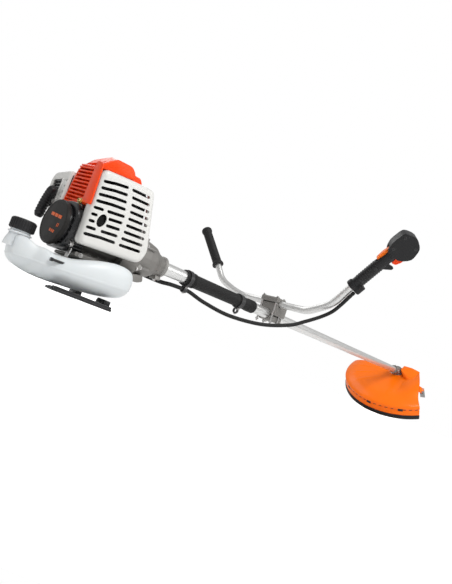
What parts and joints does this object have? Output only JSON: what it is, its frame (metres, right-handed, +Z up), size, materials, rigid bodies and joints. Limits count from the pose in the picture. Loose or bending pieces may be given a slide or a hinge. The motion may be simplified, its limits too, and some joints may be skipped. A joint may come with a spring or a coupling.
{
  "type": "string trimmer",
  "caption": "Petrol string trimmer: rear engine with recoil starter and tank, long tube, bicycle handlebar with throttle grip, and a guarded bump-feed line head.",
  "frame": {"origin": "middle of the tank stand's underside, on the floor", "axes": "+X forward along the tool from engine to line head, +Y to the operator's left, +Z up"},
  "size_m": [1.9002, 0.6964, 0.4015],
  "materials": {
    "orange": "glossy injection-moulded orange",
    "red_orange": "glossy red-orange moulding",
    "white": "warm white satin-gloss moulding",
    "black": "fine-grained black moulding",
    "dark_grey": "matt charcoal moulding",
    "rubber": "matt black rubber",
    "tank": "milky translucent polyethylene",
    "alloy": "satin anodised tube",
    "cast": "blasted grey die casting",
    "steel": "machined steel",
    "foam": "open-cell filter foam",
    "nylon": "extruded trimmer line"
  },
  "bodies": {
    "root": {"crankcase": "cast", "drum_bearing": "steel", "cylinder": "cast", "spark_plug": "steel", "cylinder_cover": "red_orange", "side_cover": "white", "muffler": "cast", "air_filter_housing": "white", "air_filter_grille": "black", "air_filter_foam": "foam", "carburettor": "alloy", "starter_housing": "black", "starter_cover": "dark_grey", "fuel_tank": "tank", "engine_base": "cast", "tank_stand": "black", "fan_housing": "cast", "clutch_housing": "cast", "outer_tube": "alloy", "shaft_bush": "black", "tube_sleeve": "rubber", "cable_clamp": "rubber", "harness_clamp": "rubber", "handlebar": "alloy", "bracket_body": "cast", "bracket_top_cap": "cast", "bracket_tube_cap": "cast", "left_grip": "rubber", "throttle_handle": "black", "throttle_cable": "rubber", "gearbox_housing": "cast", "guard": "orange", "guard_extension": "orange", "guard_skirt": "rubber", "line_cutter": "steel"},
    "crank": {"crank_half_rear": "steel", "crank_half_front": "steel", "flywheel_fan": "cast", "clutch_shoe_upper": "steel", "clutch_shoe_lower": "steel"},
    "piston": {"piston": "alloy", "connecting_rod": "steel"},
    "drive": {"clutch_drum": "steel", "drive_shaft": "steel", "bevel_pinion": "steel"},
    "line_head": {"output_gear": "steel", "spool_housing": "black", "cutting_line_left": "nylon", "cutting_line_right": "nylon"},
    "bump_knob": {"bump_knob": "orange"},
    "starter_handle": {"starter_grip": "black", "starter_rope": "rubber"},
    "starter_pulley": {"starter_pulley": "black"},
    "fuel_cap": {"fuel_cap": "black"},
    "choke_lever": {"choke_lever": "black"},
    "primer_bulb": {"primer_bulb": "rubber"},
    "throttle_trigger": {"throttle_trigger": "red_orange"},
    "carburettor_lever": {"carburettor_lever": "steel"},
    "trigger_lockout": {"trigger_lockout": "orange"},
    "stop_switch": {"stop_switch": "orange"}
  },
  "joints": [
    {"name": "crank_spin", "type": "hinge", "parent": "root", "child": "crank", "pos_m": [0.01942, 0, 0.11244], "axis": [0.9977, 0, 0.0671], "continuous": true},
    {"name": "piston_slide", "type": "slide", "parent": "root", "child": "piston", "axis": [-0.0671, 0, 0.9977], "range_m": [-0.028, 0]},
    {"name": "drive_spin", "type": "hinge", "parent": "root", "child": "drive", "pos_m": [0.206, 0, 0.125], "axis": [0.9977, 0, 0.0671], "continuous": true},
    {"name": "head_spin", "type": "hinge", "parent": "root", "child": "line_head", "pos_m": [1.65772, 0, 0.2227], "axis": [-0.6273, 0, 0.7788], "continuous": true},
    {"name": "knob_bump", "type": "slide", "parent": "line_head", "child": "bump_knob", "axis": [-0.6273, 0, 0.7788], "range_m": [0, 0.006], "stiffness_N_per_m": 300, "springref_m": -0.003},
    {"name": "starter_pull", "type": "slide", "parent": "root", "child": "starter_handle", "axis": [-0.0105, 0.9877, 0.1561], "range_m": [0, 0.095], "stiffness_N_per_m": 40, "springref_m": -0.05},
    {"name": "pulley_turn", "type": "hinge", "parent": "root", "child": "starter_pulley", "pos_m": [-0.05341, 0, 0.10754], "axis": [-0.9977, 0, -0.0671], "range_deg": [0, 250]},
    {"name": "cap_turn", "type": "hinge", "parent": "root", "child": "fuel_cap", "pos_m": [-0.09942, 0, 0.07638], "axis": [-0.0671, 0, 0.9977], "range_deg": [0, 180]},
    {"name": "choke_turn", "type": "hinge", "parent": "root", "child": "choke_lever", "pos_m": [-0.0027, 0.1403, 0.17309], "axis": [0, -1, 0], "range_deg": [0, 60]},
    {"name": "primer_press", "type": "slide", "parent": "root", "child": "primer_bulb", "axis": [-0.0671, 0, 0.9977], "range_m": [0, 0.004], "stiffness_N_per_m": 300, "springref_m": -0.001},
    {"name": "trigger_pull", "type": "hinge", "parent": "root", "child": "throttle_trigger", "pos_m": [0.51157, -0.32375, 0.35478], "axis": [0.6318, 0.5066, 0.5866], "range_deg": [0, 14], "stiffness_Nm_per_rad": 0.3, "springref_deg": -17.19},
    {"name": "throttle_turn", "type": "hinge", "parent": "root", "child": "carburettor_lever", "pos_m": [0.0137, 0.06, 0.19745], "axis": [0.0671, 0, -0.9977], "range_deg": [0, 45]},
    {"name": "lockout_press", "type": "hinge", "parent": "root", "child": "trigger_lockout", "pos_m": [0.49984, -0.30638, 0.35241], "axis": [-0.6318, -0.5066, -0.5866], "range_deg": [0, 6], "stiffness_Nm_per_rad": 0.3, "springref_deg": -11.46},
    {"name": "stop_slide", "type": "slide", "parent": "root", "child": "stop_switch", "axis": [-0.1707, -0.6473, 0.7429], "range_m": [0, 0.006]}
  ],
  "couplings": [
    {"joint": "head_spin", "follows": "drive_spin", "ratio": -0.72},
    {"joint": "pulley_turn", "follows": "starter_pull", "rad_per_m": 45.56},
    {"joint": "throttle_turn", "follows": "trigger_pull", "ratio": 3.2}
  ]
}
